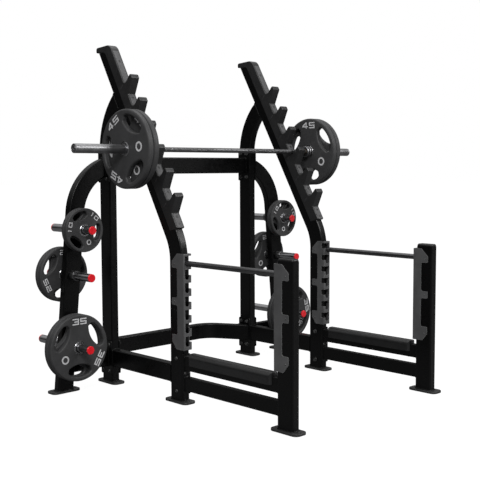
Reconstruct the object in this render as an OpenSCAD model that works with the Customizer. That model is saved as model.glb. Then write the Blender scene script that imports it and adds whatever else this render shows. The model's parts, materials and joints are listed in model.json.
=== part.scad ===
// Squat rack: two leaning uprights with bar hooks, two front columns with safety bars,
// plate storage on two splayed arch legs, and a barbell resting in the hooks.
// Millimetres. +Z up, +X to the right-hand side frame, -Y towards the front columns.
// Origin: on the floor, under the centre of the bounding box.

/* [Frame] */
// Distance between the centre planes of the two side frames
frame_w = 1148; // [1120:2:1180]
// Centre distance from main upright to rear post
post_gap = 640; // [620:5:660]
// Centre distance from main upright to front column
column_gap = 808.6; // [790:0.1:830]
// Top of the front column tubes
column_h = 832; // [825:1:860]
// Height of the kink in the main uprights
kink_z = 854.4; // [854.4:0.1:860]
// Backward lean of the upper part of the main uprights, in degrees
lean = 29.7; // [29.5:0.1:30]
// Centre height of the low horizontal tubes
low_z = 156; // [150:1:160]
// Centre height of the upper crossbar
crossbar_z = 1293; // [1285:1:1300]

/* [Tube] */
// Narrow side of the frame tube
tube_w = 51; // [51:0.5:52]
// Wide side of the frame tube
tube_d = 102; // [100:1:104]
// Wall thickness of all tubes
wall = 3; // [2.5:0.5:4]
// Corner radius of the frame tube
tube_r = 9; // [6:1:10]

/* [Hook rail] */
// Distance between hook notches along the rail
hook_pitch = 151.9; // [150:0.1:152]
// Place of the lowest notch, along the rail from the kink
hook_first = 231.4; // [228:0.1:234]
// Length of a prong, square to the rail
prong_len = 79; // [70:1:82]
// Rail thickness in front of the tube
rail_t = 16.6; // [14:0.2:18]
// Notch the bar rests in, counted from the bottom starting with 0
bar_notch = 2; // [2:1:4]

/* [Safety catch] */
// Distance between the safety slots
slot_pitch = 72.8; // [70:0.1:73]
// Safety bar diameter
safety_d = 30; // [26:1:32]
// Slot the safety bars rest in, counted from the bottom starting with 0
safety_slot = 6; // [3:1:6]

/* [Storage] */
// Diameter of the storage horns
horn_d = 47; // [44:0.5:48]
// Heights of the storage horns
horn_z = [931, 667, 270]; // [200:1:1000]

/* [Barbell] */
// Overall length of the barbell
bar_len = 2200; // [2190:1:2210]
// Grip diameter
shaft_d = 28; // [27:0.5:28.5]
// Sleeve diameter
sleeve_d = 50; // [49:0.5:50]
// Inner face of the loadable sleeve, from the middle of the bar
shoulder_x = 704; // [700:1:710]

/* [Weights] */
// Outer diameters of the 45, 35, 25 and 10 lb plates
weight_d = [430, 380, 320, 250]; // [200:1:450]
// Thickness of the 45, 35, 25 and 10 lb plates
weight_t = [37.5, 36.5, 32, 25.5]; // [20:0.5:40]
// Bore diameter of all plates
weight_bore = 50.2; // [50.2:0.1:52]

/* [Hidden] */
$fn = 64;

// Foot plates
foot_l = 185;
foot_w = 88;
foot_t = 12;
foot_r = 30;
anchor_gap = 146;
anchor_r = 7;

// Places of the uprights, posts and columns
side_x = frame_w / 2;
bow_y = 247;                        // how far the lower crossmember bows back from the posts
main_y = (column_gap + foot_l / 2 - post_gap - bow_y - tube_w / 2) / 2;
post_y = main_y + post_gap;
column_y = main_y - column_gap;

// Main upright bend
main_bend_r = 300;
bend_reach = main_bend_r * tan(lean / 2);
tube_top_z = 1944;                  // level cut at the top of the leaning tube
lean_len = 1300;                    // leaning tube before that cut

// Rear post bend
post_bend_z = 1374;
post_bend_r = 400;
post_bend_angle = 52;

// Arch leg
arch_inset = 62.5;                  // centre of the arch, inwards from the frame plane
arch_x = side_x - arch_inset;
arch_z = 1000;
arch_r = 300;
splay = 5.4;
leg_top = [arch_x + arch_r * cos(splay), arch_z + arch_r * sin(splay)];

// Lower crossmember
bow_angle = 60;
bow_r = 150;
bow_corner_x = side_x - tube_w / 2 - bow_y / tan(bow_angle);
bow_reach = bow_r * tan(bow_angle / 2);
bow_side_l = 1.3 * bow_y;           // slanted ends, before they are cut at the flanges

// Flange plates
flange_t = 8;
flange_h = 200;
flange_r = 8;
flange_bolt = [28, 78];
cross_bolt_z = [62, 243];           // bolts through the foot of the main upright
flange_in = side_x - tube_w / 2 - flange_t;
flange_out = side_x + tube_w / 2 + flange_t;

// Hook rail, in the leaning frame: Y back from the tube centre line, Z along the tube
rail_wall = 3;
rail_w = tube_w + 2 * rail_wall;
rail_front = -(tube_d / 2 + rail_t);
cheek_back = -4;
rail_bottom = 76;
rail_bottom_back = 92;
hook_count = 6;
notch_r = 18;
cap_z = 1948;                       // underside of the top cap, level
cap_h = [39, 30];                   // cap height at its front and its back
cap_back = 67;
cap_front_r = 50;
strip_w = 38;
strip_t = 4;
strip_proud = 0.6;
strip_r = 4;
strip_gap = 4;                      // between a strip and the prong above it
strip_top = 1225;                   // upper end of the top strip
strip_screw_r = 7.2;                // recess around each screw head
strip_screw_drop = 87;              // screw below each notch
strip_screw_ends = [98, 1151];      // lowest and highest screw
cap_fillet_r = 35;                  // cheek's back edge into the cap
notch_angle = 19.5;                 // rise of a prong's upper face
prong_under = 4;                    // underside of the tip, below the notch
prong_root = 63;                    // foot of the prong, below the notch
strip_start = 22;                   // lower end of a strip, above the notch

// Safety brackets
bracket_t = 3;
bracket_w = tube_w + 2 * bracket_t;
bracket_front = -tube_d / 2 - 21;   // outer face of the bracket, from the tube's centre line
bracket_bend_r = 6;
web_edge = -17;                     // back edge of a bracket's sides, and of their three tabs
tab_edge = 27;
tab_screw_z = [336, 557, 759];
tab_screw_back = 7;                 // behind the tube's centre line
slot_first_z = 314;
slot_count = 7;
slot_w = safety_d + 3;
slot_offset = 3;                    // pocket centre, outwards from the frame plane
slot_lip = 23;
slot_deep = 24;                     // how far a slot reaches from the face into the side
safety_x = side_x + slot_offset;
safety_z = slot_first_z + safety_slot * slot_pitch + safety_d / 2;

// Sub-frame
sub_w = 38;
sub_h = 76;
sub_r = 6;
upper_sub_z = 223;
lower_sub_z = 110;
sub_flange_t = 9;
sub_flange_w = 47;
sub_flange_h = 222;
sub_flange_z = 163;
sub_bolt_z = 166.5;
sub_bolt_x = 12;
backing = [32, 8, 40];
cover_screw_y = [-121, -411, -695];
cover_w = 72;
cover_z = [220, 283];
cover_y = [-720, -98];              // its ends, from the main upright
cover_shoulder_r = 25;
cover_end_r = 28;
cover_dimple = [8, 5, 2];           // offset from the middle screw, radius and depth

// Storage horns: front and rear reach from the leg's centre plane, per height
horn_front = [192, 211, 243];
horn_rear = [205, 220, 265];
collar_l = 38;
collar_r = 29;
horn_core_r = horn_d / 2 - 1.5;
horn_cap_t = 8;
horn_cap_r = horn_d / 2;
stack_start = tube_w / 2 + collar_l;
sag = (weight_bore - horn_d) / 2;

// Barbell
shaft_r = shaft_d / 2;
collar_x = shoulder_x - 36;
bar_collar_r = 35;
sleeve_bore_r = 17.02;
bush_r = 17;
bush_l = 40;
running_gap = 0.05;
sleeve_end_t = 6;
outer_bush_x = bar_len / 2 - 70;
ring_x = bar_len / 2 - 29;
ring_t = 1.8;
ring_groove_r = 12.5;

// Weights: steel hub radius per size, and the rim's chamfer across and along the axis
hub_r = [40, 38, 38, 36];
rim_chamfer = [14, 7];

// Where the bar sits: just clear of the lowest point of the notch fillet
bar_gap = 0.1;
notch_centre = [rail_front - notch_r,
                hook_first + bar_notch * hook_pitch + notch_r * (1 + sin(notch_angle)) / cos(notch_angle)];
bar_y = main_y + to_y(notch_centre);
bar_z = to_z(notch_centre) - notch_r + shaft_r + bar_gap;

// Bolts
m12 = 6;
m10 = 5;
m8 = 4;
m5 = 2.5;
bolt_gap = 0.4;
washer_t = 2;
washer_r = 12;

function to_y(p) = p[0] * cos(lean) + p[1] * sin(lean);
function to_z(p) = kink_z - p[0] * sin(lean) + p[1] * cos(lean);
function hook_s(k) = hook_first + k * hook_pitch;

// Height along the leaning tube of a level plane z, at a distance y back from the centre line
function level_s(z, y) = (z - kink_z + y * sin(lean)) / cos(lean);

function unit(v) = v / norm(v);

// Outline with rounded corners: each point is [x, y, corner radius], anticlockwise or clockwise
function rounded(pts, steps = 6) = [
    for (i = [0 : len(pts) - 1])
        let (n = len(pts), c = [pts[i][0], pts[i][1]], r = pts[i][2],
             a = unit([pts[(i + n - 1) % n][0], pts[(i + n - 1) % n][1]] - c),
             b = unit([pts[(i + 1) % n][0], pts[(i + 1) % n][1]] - c),
             half = acos(a * b) / 2)
        each r == 0 ? [c] : let (m = c + unit(a + b) * r / sin(half), p = c + a * r / tan(half),
                                 s = atan2(p[1] - m[1], p[0] - m[0]),
                                 turn = (a[0] * b[1] - a[1] * b[0] > 0 ? -1 : 1) * (180 - 2 * half))
            [for (k = [0 : steps]) m + r * [cos(s + turn * k / steps), sin(s + turn * k / steps)]]
];

// Draws its children for the right side, or mirrored for the left
module side(right) {
    if (right) children();
    else mirror([1, 0, 0]) children();
}

module both_sides() {
    children();
    mirror([1, 0, 0]) children();
}

module round_rect(w, h, r) {
    square([w - 2 * r, h], center = true);
    square([w, h - 2 * r], center = true);
    for (x = [-1, 1], y = [-1, 1]) translate([x * (w / 2 - r), y * (h / 2 - r)]) circle(r);
}

module section(w, h, r = tube_r) {
    difference() {
        round_rect(w, h, r);
        round_rect(w - 2 * wall, h - 2 * wall, r - wall);
    }
}

// Tube along +Y
module tube_y(l, w, h, r = tube_r) {
    rotate([90, 0, 180]) linear_extrude(l) section(w, h, r);
}

// Moves children into the leaning frame of the upright
module leaning() {
    translate([side_x, main_y, kink_z]) rotate([-lean, 0, 0]) children();
}

// ---------- fasteners ----------

// Low round head with a hex socket, standing on z = 0
module dome_head(r, h, socket) {
    ball = (r * r + h * h) / (2 * h);
    difference() {
        intersection() {
            translate([0, 0, h - ball]) sphere(ball);
            cylinder(r = r, h = h);
        }
        translate([0, 0, h / 2]) cylinder(r = socket, h = h, $fn = 6);
    }
}

// Bolt with its head on z = 0 and its shank down -Z
module bolt(r, l, head = 1.75) {
    dome_head(r * head, r * 1.1, r * 0.6);
    translate([0, 0, -l]) cylinder(r = r, h = l);
}

module nut(r) {
    difference() {
        union() {
            cylinder(r = washer_r * r / m12, h = washer_t);
            translate([0, 0, washer_t]) cylinder(r = 1.8 * r, h = 1.6 * r, $fn = 6);
        }
        translate([0, 0, -1]) cylinder(r = r + 0.05, h = 3 * r);
    }
}

// Runs children at the four bolts of each flange pair, Z pointing outwards from the outer flange
module at_flange_bolts() {
    for (z = [low_z, crossbar_z], i = [-1, 1], j = [-1, 1])
        translate([flange_out, post_y + i * flange_bolt[0], z + j * flange_bolt[1]])
            rotate([0, 90, 0]) children();
}

module at_cross_bolts() {
    for (z = cross_bolt_z) translate([side_x + tube_w / 2, main_y, z]) rotate([0, 90, 0]) children();
}

module at_subframe_bolts() {
    for (i = [-1, 1])
        translate([side_x + i * sub_bolt_x, main_y - tube_d / 2 - sub_flange_t, sub_bolt_z])
            rotate([90, 0, 0]) children();
}

module at_cover_screws() {
    for (y = cover_screw_y)
        translate([side_x, main_y + y, upper_sub_z - sub_h / 2]) rotate([180, 0, 0]) children();
}

// Rail screws, Z pointing out of the rail's front
module at_strip_screws() {
    spots = concat(strip_screw_ends, [for (k = [0 : hook_count - 1]) hook_s(k) - strip_screw_drop]);
    for (s = spots) leaning() translate([0, rail_front, s]) rotate([90, 0, 0]) children();
}

// Screws in the bracket's three tabs, on both sides of a tube at y; dir is the side the slots face
module at_tab_screws(y, dir) {
    for (z = tab_screw_z, i = [-1, 1])
        translate([side_x + i * (tube_w / 2 + bracket_t), y - dir * tab_screw_back, z])
            rotate([0, i * 90, 0]) children();
}

module frame_bolts() {
    color("dimgray") both_sides() {
        grip = tube_w + 2 * flange_t;
        at_flange_bolts() {
            bolt(m12, grip + 15);
            translate([0, 0, -grip]) rotate([180, 0, 0]) nut(m12);
        }
        at_cross_bolts() {
            bolt(m12, tube_w + 13);
            translate([0, 0, -tube_w]) rotate([180, 0, 0]) nut(m12);
        }
        at_subframe_bolts() bolt(m10, sub_flange_t + wall + 12);
        backing_bar();
    }
}

// Tapped bar inside the upright that the sub-frame's bolts screw into
module backing_bar() difference() {
    translate([side_x - backing[0] / 2, main_y - tube_d / 2 + wall, sub_bolt_z - backing[2] / 2])
        cube(backing);
    at_subframe_bolts() bolt_holes(m10 + running_gap - bolt_gap, tube_d);
}

module cover_and_bracket_screws() {
    color("gray") both_sides() {
        at_cover_screws() bolt(m8, sub_h + 12);
        at_strip_screws() translate([0, 0, -0.6]) {
            translate([0, 0, -4]) cylinder(r = 6.8, h = 4);
            translate([0, 0, -rail_t - 3]) cylinder(r = m8, h = rail_t);
        }
        at_tab_screws(main_y, -1) bolt(m5, bracket_t + wall + 3);
        at_tab_screws(column_y, 1) bolt(m5, bracket_t + wall + 3);
    }
}

// ---------- frame ----------

module bolt_holes(r, l) {
    translate([0, 0, -l]) cylinder(r = r + bolt_gap, h = l + 20);
}

module main_upright(right) color("#141416") side(right) difference() {
    union() {
        translate([side_x, main_y, foot_t]) linear_extrude(kink_z - bend_reach - foot_t)
            section(tube_w, tube_d);
        translate([side_x, main_y + main_bend_r, kink_z - bend_reach]) rotate([90, 0, -90])
            rotate_extrude(angle = lean) translate([main_bend_r, 0]) section(tube_d, tube_w);
        leaning() translate([0, 0, bend_reach]) linear_extrude(lean_len) section(tube_w, tube_d);
    }
    translate([side_x - tube_d, main_y, tube_top_z]) cube([2 * tube_d, 2 * post_gap, lean_len]);
    at_cross_bolts() bolt_holes(m12, tube_w + 20);
    at_subframe_bolts() bolt_holes(m10, 20);
    at_strip_screws() bolt_holes(m8, rail_t + 6);
    at_tab_screws(main_y, -1) bolt_holes(m5, 8);
}

module rear_post(right) color("#141416") side(right) difference() {
    union() {
        translate([side_x, post_y, foot_t]) linear_extrude(post_bend_z - foot_t)
            section(tube_w, tube_d);
        translate([side_x, post_y - post_bend_r, post_bend_z]) rotate([90, 0, 90])
            rotate_extrude(angle = post_bend_angle) translate([post_bend_r, 0]) section(tube_d, tube_w);
    }
    leaning() translate([-tube_d, tube_d / 2 - post_bend_r, 0]) cube([2 * tube_d, post_bend_r, lean_len]);
    at_flange_bolts() bolt_holes(m12, tube_w + 2 * flange_t + 20);
}

module side_rails() color("#141416") both_sides()
    translate([side_x, main_y + tube_d / 2, low_z]) tube_y(post_gap - tube_d, tube_w, tube_d);

module upper_crossbar() color("#141416")
    translate([-flange_in, post_y, crossbar_z]) rotate([90, 0, 90])
        linear_extrude(2 * flange_in) section(tube_w, tube_d);

// Tube bowed backwards between the rear posts, cut square to X at the flanges
module lower_crossmember() color("#141416") difference() {
    straight = bow_corner_x - bow_reach;
    union() {
        translate([-straight, post_y + bow_y, low_z]) rotate([90, 0, 90])
            linear_extrude(2 * straight) section(tube_w, tube_d);
        both_sides() {
            translate([straight, post_y + bow_y - bow_r, low_z])
                rotate_extrude(angle = bow_angle, start = 90 - bow_angle)
                    translate([bow_r, 0]) section(tube_w, tube_d);
            translate([straight + bow_r * sin(bow_angle), post_y + bow_y - bow_r * (1 - cos(bow_angle)),
                       low_z])
                rotate([0, 0, -bow_angle]) rotate([90, 0, 90])
                    linear_extrude(bow_side_l) section(tube_w, tube_d);
        }
    }
    both_sides() translate([flange_in, 0, 0]) cube([tube_d, 2 * post_y, 2 * low_z]);
}

function leg_x(z) = leg_top[0] + (leg_top[1] - z) * tan(splay);

// Runs children in the straight part of the leg, Z running down the leg
module down_leg() {
    translate([leg_top[0], post_y, leg_top[1]]) rotate([0, 180 - splay, 0]) children();
}

module arch_leg(right) color("#141416") side(right) difference() {
    union() {
        down_leg() linear_extrude(arch_z + tube_d) section(tube_d, tube_w);
        translate([arch_x, post_y, arch_z]) rotate([90, 0, 0])
            rotate_extrude(angle = 90 - splay, start = splay)
                translate([arch_r, 0]) section(tube_d, tube_w);
    }
    translate([arch_x - tube_d, post_y - tube_d, arch_z])
        cube([flange_out - arch_x + tube_d, 2 * tube_d, 2 * arch_r]);
    translate([arch_x, post_y - tube_d, foot_t - arch_z]) cube([arch_z, 2 * tube_d, arch_z]);
    for (z = horn_z) translate([leg_x(z), post_y, z]) rotate([90, 0, 0])
        cylinder(r = horn_core_r + running_gap, h = tube_d, center = true);
}

module outrigger_tubes() color("#141416") both_sides() difference() {
    translate([flange_out, post_y, low_z]) rotate([90, 0, 90])
        linear_extrude(arch_r) section(tube_w, tube_d);
    down_leg() translate([tube_d / 2 - arch_r, -tube_d, 0]) cube([arch_r, 2 * tube_d, 2 * arch_z]);
}

module front_column(right) color("#141416") side(right) difference() {
    translate([side_x, column_y, foot_t]) linear_extrude(column_h - foot_t) section(tube_w, tube_d);
    at_tab_screws(column_y, 1) bolt_holes(m5, 8);
}

module column_caps() color("#202022") both_sides() translate([side_x, column_y, column_h]) {
    edge = 12;
    hull() for (a = [0 : 18 : 90])
        translate([0, 0, edge * sin(a)]) linear_extrude(1)
            round_rect(tube_w - 2 * edge * (1 - cos(a)), tube_d - 2 * edge * (1 - cos(a)),
                       max(tube_r - edge * (1 - cos(a)), 1), $fn = 32);
    translate([0, 0, -20]) linear_extrude(20)
        round_rect(tube_w - 2 * wall - bolt_gap, tube_d - 2 * wall - bolt_gap, tube_r - wall);
}

// ---------- flanges and feet ----------

module flange_pair(z) difference() {
    for (x = [flange_in, flange_out - flange_t]) translate([x, post_y, z]) rotate([90, 0, 90])
        linear_extrude(flange_t) round_rect(tube_d, flange_h, flange_r);
    at_flange_bolts() bolt_holes(m12, tube_w + 2 * flange_t + 20);
}

module upper_flange_plates() color("#18181a") both_sides() flange_pair(crossbar_z);

module lower_flange_plates() color("#18181a") both_sides() flange_pair(low_z);

module subframe_flange_plates() color("#18181a") both_sides() difference() {
    translate([side_x, main_y - tube_d / 2, sub_flange_z]) rotate([90, 0, 0])
        linear_extrude(sub_flange_t) round_rect(sub_flange_w, sub_flange_h, 4);
    at_subframe_bolts() bolt_holes(m10, 20);
}

// Floor plate with two anchor holes along its length
module foot_plate(x, y, across) translate([x, y, 0]) rotate([0, 0, across ? 90 : 0]) difference() {
    linear_extrude(foot_t) round_rect(foot_w, foot_l, foot_r);
    for (i = [-1, 1]) translate([0, i * anchor_gap / 2, -1]) cylinder(r = anchor_r, h = foot_t + 2);
}

module foot_plates() color("#18181a") both_sides() {
    for (y = [column_y, main_y, post_y]) foot_plate(side_x, y, false);
    foot_plate(leg_x(foot_t), post_y, true);
}

// ---------- sub-frame ----------

module sub_tube(z) translate([side_x, column_y + tube_d / 2, z])
    tube_y(column_gap - tube_d - sub_flange_t, sub_w, sub_h, sub_r);

module bumper_tubes() color("#141416") both_sides() difference() {
    sub_tube(upper_sub_z);
    at_cover_screws() bolt_holes(m8, sub_h + 20);
}

module lower_brace_tubes() color("#141416") both_sides() sub_tube(lower_sub_z);

// Moulded cover over the upper tube: flat sides, round shoulders, rounded ends
module bumper_cover(right) color("#1b1b1d") side(right) difference() {
    cover_l = cover_y[1] - cover_y[0];
    intersection() {
        translate([side_x, main_y + cover_y[0], 0]) rotate([90, 0, 180]) linear_extrude(cover_l)
            polygon(rounded([[-cover_w / 2, cover_z[0], 3], [cover_w / 2, cover_z[0], 3],
                             [cover_w / 2, cover_z[1], cover_shoulder_r],
                             [-cover_w / 2, cover_z[1], cover_shoulder_r]], 10));
        translate([side_x, main_y + cover_y[0] + cover_l / 2, 0]) linear_extrude(cover_z[1] + 1)
            round_rect(cover_w, cover_l, cover_end_r);
    }
    translate([side_x - sub_w / 2 - 0.1, main_y + cover_y[0] - 1, upper_sub_z - sub_h])
        cube([sub_w + 0.2, cover_l + 2, 1.5 * sub_h + 0.1]);
    at_cover_screws() bolt_holes(m8, sub_h + 14);
    translate([side_x, main_y + cover_screw_y[1] - cover_dimple[0], cover_z[1] - cover_dimple[2]])
        cylinder(r = cover_dimple[1], h = cover_w);
}

// ---------- hook rails ----------

function hook_outline(s) = [
    [rail_front, s, notch_r],
    [rail_front - prong_len, s + prong_len * tan(notch_angle), 10],
    [rail_front - prong_len, s - prong_under, 12],
    [rail_front, s - prong_root, 8]
];

rail_outline = concat(
    [[rail_front, rail_bottom, 3],
     [cheek_back, rail_bottom_back, 3],
     [cheek_back, level_s(cap_z, cheek_back), cap_fillet_r],
     [cap_back, level_s(cap_z, cap_back), 4],
     [cap_back - cap_h[1] * sin(lean), level_s(cap_z, cap_back) + cap_h[1] * cos(lean), 10],
     [rail_front, level_s(cap_z + cap_h[0], rail_front), cap_front_r]],
    [for (k = [hook_count - 1 : -1 : 0]) each hook_outline(hook_s(k))]
);

// Lower and upper ends of each wear strip, along the rail
function strip_ends() = [
    [rail_bottom + strip_gap, hook_s(0) - prong_root - strip_gap],
    for (k = [0 : hook_count - 1])
        [hook_s(k) + strip_start,
         k == hook_count - 1 ? strip_top : hook_s(k + 1) - prong_root - strip_gap]
];

module strips(margin, t) {
    for (e = strip_ends())
        leaning() translate([0, rail_front + strip_t - strip_proud, (e[0] + e[1]) / 2]) rotate([90, 0, 0])
            linear_extrude(t)
                round_rect(strip_w + 2 * margin, e[1] - e[0] + 2 * margin, strip_r + margin);
}

module hook_rail(right) color("#232325") side(right) difference() {
    leaning() translate([-rail_w / 2, 0, 0]) rotate([90, 0, 90])
        linear_extrude(rail_w) polygon(rounded(rail_outline, 12));
    difference() {
        leaning() linear_extrude(lean_len + tube_d)
            round_rect(tube_w + 2 * running_gap, tube_d + 2 * running_gap, tube_r + running_gap);
        translate([side_x - tube_d, main_y, cap_z]) cube([2 * tube_d, 2 * post_gap, lean_len]);
    }
    strips(running_gap, 4 * strip_t);
    at_strip_screws() {
        translate([0, 0, -5]) cylinder(r = strip_screw_r, h = 10);
        bolt_holes(m8, rail_t + 6);
    }
}

module wear_strips() color("#5c5c60") both_sides() difference() {
    strips(0, strip_t);
    at_strip_screws() translate([0, 0, -10]) cylinder(r = strip_screw_r, h = 20);
}

// ---------- safety brackets and bars ----------

// Side of a bracket facing -Y, as [y, z, corner radius] around the tube's centre line
bracket_outline = [
    [bracket_front, 295, 3], [-5, 295, 4], [tab_edge, 335, 4], [tab_edge, 375, 6],
    [web_edge, 375, 12], [web_edge, 537, 12], [tab_edge, 537, 6], [tab_edge, 577, 6],
    [web_edge, 577, 12], [web_edge, 740, 12], [tab_edge, 740, 6], [tab_edge, 775, 4],
    [web_edge, 818, 4], [bracket_front, 818, 3]
];

// Plan of the U-shaped bracket's outside, drawn in by inset for its inside
module bracket_plan(inset) {
    x = bracket_w / 2 - inset;
    y = bracket_front + inset;
    r = bracket_bend_r - inset;
    polygon(rounded([[-x, y, r], [x, y, r], [x, tube_d, 0], [-x, tube_d, 0]]));
}

// Slot opening as [x, z]: a round-bottomed pocket entered from the frame's inside when entry is -1 and
// from its outside when entry is 1
module slot_shape(z, entry) {
    r = slot_w / 2;
    translate([slot_offset, z + r]) circle(r);
    translate([slot_offset - r, z + r]) square([slot_w, slot_lip + slot_w - r]);
    translate([slot_offset + (entry - 1) / 2 * bracket_w, z + slot_lip]) square([bracket_w, slot_w]);
}

module bracket_shape(entry) difference() {
    intersection() {
        translate([-bracket_w / 2, 0, 0]) rotate([90, 0, 90]) linear_extrude(bracket_w)
            polygon(rounded(bracket_outline));
        linear_extrude(column_h) bracket_plan(0);
    }
    linear_extrude(column_h) bracket_plan(bracket_t - running_gap);
    for (k = [0 : slot_count - 1]) translate([0, bracket_front + slot_deep, 0]) rotate([90, 0, 0])
        linear_extrude(2 * slot_deep) slot_shape(slot_first_z + k * slot_pitch, entry);
}

module rear_bracket(right) color("#3c3c3f") side(right) difference() {
    translate([side_x, main_y, 0]) bracket_shape(-1);
    at_tab_screws(main_y, -1) bolt_holes(m5, 8);
}

module front_bracket(right) color("#3c3c3f") side(right) difference() {
    translate([side_x, column_y, 0]) mirror([0, 1, 0]) bracket_shape(right ? 1 : -1);
    at_tab_screws(column_y, 1) bolt_holes(m5, 8);
}

module safety_bar(right) color("#6a6a6e") side(right)
    translate([safety_x, column_y + tube_d / 2 + 1, safety_z]) rotate([-90, 0, 0])
        cylinder(d = safety_d, h = column_gap - tube_d - 2);

// ---------- storage horns ----------

// Runs children at each horn, Z pointing out of the front of the leg
module at_horns() {
    for (i = [0 : len(horn_z) - 1]) translate([leg_x(horn_z[i]), post_y, horn_z[i]]) rotate([90, 0, 0]) {
        $horn = i;
        children();
    }
}

module storage_horns() color("#c8c8cc") both_sides() at_horns() difference() {
    front = horn_front[$horn] - horn_cap_t;
    rear = horn_rear[$horn] - horn_cap_t;
    union() {
        cylinder(r = horn_core_r, h = 2 * stack_start, center = true);
        translate([0, 0, stack_start]) cylinder(d = horn_d, h = front - stack_start);
        translate([0, 0, -rear]) cylinder(d = horn_d, h = rear - stack_start);
    }
    translate([0, 0, -rear - 1]) cylinder(r = horn_core_r - 2.5, h = front + rear + 2);
}

module horn_collars() color("#18181a") both_sides() at_horns()
    for (i = [-1, 1]) translate([0, 0, i * (tube_w + collar_l) / 2]) difference() {
        cylinder(r = collar_r, h = collar_l, center = true);
        cylinder(r = horn_core_r + running_gap, h = collar_l + 2, center = true);
    }

module horn_cap() rotate_extrude() polygon(rounded([
    [0, -20, 0], [horn_core_r - 2.6, -20, 1], [horn_core_r - 2.6, 0, 0],
    [horn_cap_r, 0, 1], [horn_cap_r, horn_cap_t, 3], [0, horn_cap_t, 0]]));

module horn_end_caps() color("#d81e22") both_sides() at_horns() {
    translate([0, 0, horn_front[$horn] - horn_cap_t]) horn_cap();
    translate([0, 0, horn_cap_t - horn_rear[$horn]]) rotate([180, 0, 0]) horn_cap();
}

// ---------- barbell ----------

// Runs children on the bar's axis with Z pointing to the right end
module on_bar() {
    translate([0, bar_y, bar_z]) rotate([0, 90, 0]) children();
}

module ring(r_in, r_out, from, to) translate([0, 0, from]) difference() {
    cylinder(r = r_out, h = to - from);
    translate([0, 0, -1]) cylinder(r = r_in, h = to - from + 2);
}

module bar_shaft() color("#b9bcc0") on_bar() difference() {
    cylinder(r = shaft_r, h = bar_len - 50, center = true);
    for (i = [-1, 1]) scale([1, 1, i]) ring(ring_groove_r, shaft_r + 1, ring_x, ring_x + ring_t);
}

module sleeve(right) color("#c4c7cb") side(right) on_bar() {
    ring(sleeve_bore_r, bar_collar_r, collar_x, shoulder_x);
    ring(sleeve_bore_r, sleeve_d / 2, shoulder_x, bar_len / 2 - sleeve_end_t);
}

module sleeve_bushings(right) color("#b5813c") side(right) on_bar()
    for (x = [collar_x + 2, outer_bush_x]) ring(shaft_r + running_gap, bush_r, x, x + bush_l);

module retaining_ring(right) color("#8a8c90") side(right) on_bar()
    ring(ring_groove_r + running_gap, bush_r - 0.5, ring_x + running_gap, ring_x + ring_t - running_gap);

module sleeve_end_cap(right) color("#9da0a5") side(right) on_bar() {
    translate([0, 0, bar_len / 2 - sleeve_end_t]) cylinder(d = sleeve_d, h = sleeve_end_t);
    translate([0, 0, bar_len / 2 - 20]) cylinder(r = bush_r - running_gap, h = 20 - sleeve_end_t);
}

// ---------- weights ----------

// Grip opening of a weight of radius r: one side follows the rim, the other bulges towards the hub,
// and short slanting ends join them
function grip_outline(r) = concat(
    [for (a = [22 : -5.5 : -22]) [0.86 * r * sin(a), 0.86 * r * cos(a), 0]],
    [[-0.39 * r, 0.72 * r, 0.05 * r], [-0.37 * r, 0.6 * r, 0.05 * r]],
    [for (a = [-24 : 6 : 24]) [0.7 * r * sin(a), (1.2 - 0.7 * cos(a)) * r, 0]],
    [[0.37 * r, 0.6 * r, 0.05 * r], [0.39 * r, 0.72 * r, 0.05 * r]]
);

// Weight of size i standing on z = 0: a rubber disc around a steel hub ring. mark is the angle of the
// blank third between two grip openings.
module weight(i, mark) {
    r = weight_d[i] / 2;
    t = weight_t[i];
    ring(weight_bore / 2, hub_r[i], 0, t);
    difference() {
        rotate_extrude() polygon([[hub_r[i] + running_gap, 0], [r - rim_chamfer[0], 0], [r, rim_chamfer[1]],
            [r, t - rim_chamfer[1]], [r - rim_chamfer[0], t], [hub_r[i] + running_gap, t]]);
        for (a = [60, 180, 300]) rotate([0, 0, mark + a - 90]) translate([0, 0, -1])
            linear_extrude(t + 2) polygon(rounded(grip_outline(r), 4));
    }
}

// Weight number n on the sleeve, counted outwards from the collar
module bar_weight(right, n, mark) color("#29292b") side(right)
    translate([shoulder_x + n * weight_t[0], bar_y, bar_z]) rotate([90, 0, 90]) weight(0, mark);

// Weight number n on horn h, counted outwards from the collar; dir is -1 at the front, 1 at the rear
module stored_weight(right, i, h, dir, n, mark) color("#29292b") side(right)
    translate([leg_x(horn_z[h]), post_y + dir * (stack_start + (n + (dir > 0 ? 1 : 0)) * weight_t[i]),
               horn_z[h] - sag]) rotate([90, 0, 0]) weight(i, mark);

main_upright(false);  // left_main_upright
main_upright(true);  // right_main_upright
rear_post(false);  // left_rear_post
rear_post(true);  // right_rear_post
side_rails();
upper_crossbar();
lower_crossmember();
arch_leg(false);  // left_arch_leg
arch_leg(true);  // right_arch_leg
outrigger_tubes();
front_column(false);  // left_front_column
front_column(true);  // right_front_column
column_caps();
bumper_tubes();
lower_brace_tubes();
bumper_cover(false);  // left_bumper_cover
bumper_cover(true);  // right_bumper_cover
hook_rail(false);  // left_hook_rail
hook_rail(true);  // right_hook_rail
wear_strips();
rear_bracket(false);  // left_rear_bracket
rear_bracket(true);  // right_rear_bracket
front_bracket(false);  // left_front_bracket
front_bracket(true);  // right_front_bracket
upper_flange_plates();
lower_flange_plates();
subframe_flange_plates();
foot_plates();
storage_horns();
horn_collars();
horn_end_caps();
frame_bolts();
cover_and_bracket_screws();
safety_bar(false);  // left_safety_bar
safety_bar(true);  // right_safety_bar
bar_shaft();
sleeve(false);  // left_sleeve
sleeve(true);  // right_sleeve
sleeve_bushings(false);  // left_sleeve_bushings
sleeve_bushings(true);  // right_sleeve_bushings
retaining_ring(false);  // left_retaining_ring
retaining_ring(true);  // right_retaining_ring
sleeve_end_cap(false);  // left_sleeve_end_cap
sleeve_end_cap(true);  // right_sleeve_end_cap
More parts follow.
